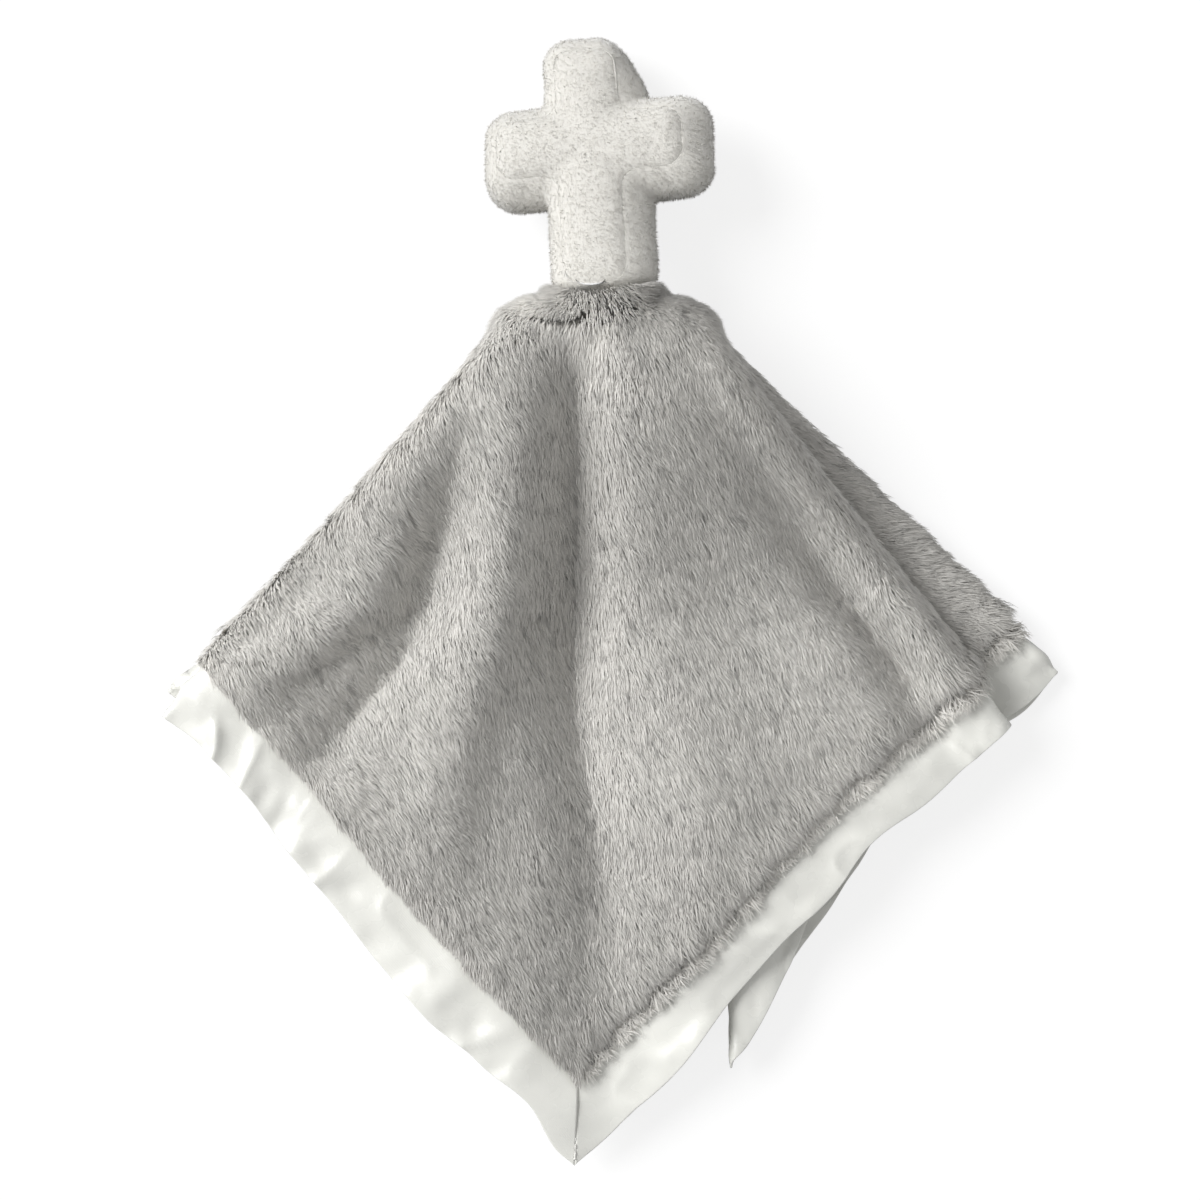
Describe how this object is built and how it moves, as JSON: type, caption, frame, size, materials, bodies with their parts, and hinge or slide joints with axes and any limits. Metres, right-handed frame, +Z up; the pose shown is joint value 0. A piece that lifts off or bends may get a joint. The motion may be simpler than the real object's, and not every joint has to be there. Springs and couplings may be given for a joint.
{
  "type": "comfort blanket lovey",
  "caption": "Square plush comfort blanket with a satin border, folded down from its middle, where a small stuffed cross is sewn on.",
  "frame": {"origin": "middle of the underside of the part's box, on the table that the lovey lies on", "axes": "+X to the lovey's right in the picture, +Y from the blanket towards the cross, +Z up from the table"},
  "size_m": [0.2576, 0.3238, 0.0501],
  "materials": {
    "grey_plush": "long-pile plush, soft grey-white, nap running down from the neck",
    "ivory_lining": "smooth satin lining, low gloss",
    "ivory_satin": "glossy satin ribbon",
    "white_plush": "short-pile velour, warm white",
    "white_fill": "loose polyester fibre filling",
    "grey_thread": "matt grey sewing thread",
    "white_thread": "matt white sewing thread",
    "white_patch": "plain woven cotton"
  },
  "bodies": {
    "blanket": {"blanket_face": "grey_plush", "blanket_lining": "ivory_lining", "neck_patch": "white_patch", "satin_border_right_front": "ivory_satin", "satin_border_right_back": "ivory_satin", "satin_border_left_back": "ivory_satin", "satin_border_left_front": "ivory_satin", "border_stitching_right_front": "grey_thread", "border_stitching_right_back": "grey_thread", "border_stitching_left_back": "grey_thread", "border_stitching_left_front": "grey_thread", "mitre_stitching_front": "white_thread", "mitre_stitching_right": "white_thread", "mitre_stitching_back": "white_thread", "mitre_stitching_left": "white_thread"},
    "neck_seam": {"neck_stitching": "white_thread"},
    "cross": {"cross_front_panel": "white_plush", "cross_gusset": "white_plush", "cross_back_panel": "white_plush", "cross_stuffing": "white_fill", "cross_front_seam": "white_thread", "cross_back_seam": "white_thread"}
  },
  "joints": [
    {"name": "neck_sway", "type": "hinge", "parent": "blanket", "child": "neck_seam", "pos_m": [-0.00272, 0.09539, 0.02973], "axis": [0, 0, 1], "range_deg": [-20, 20]},
    {"name": "neck_nod", "type": "hinge", "parent": "neck_seam", "child": "cross", "pos_m": [-0.00272, 0.09539, 0.02973], "axis": [1, 0, 0], "range_deg": [0, 70]}
  ]
}
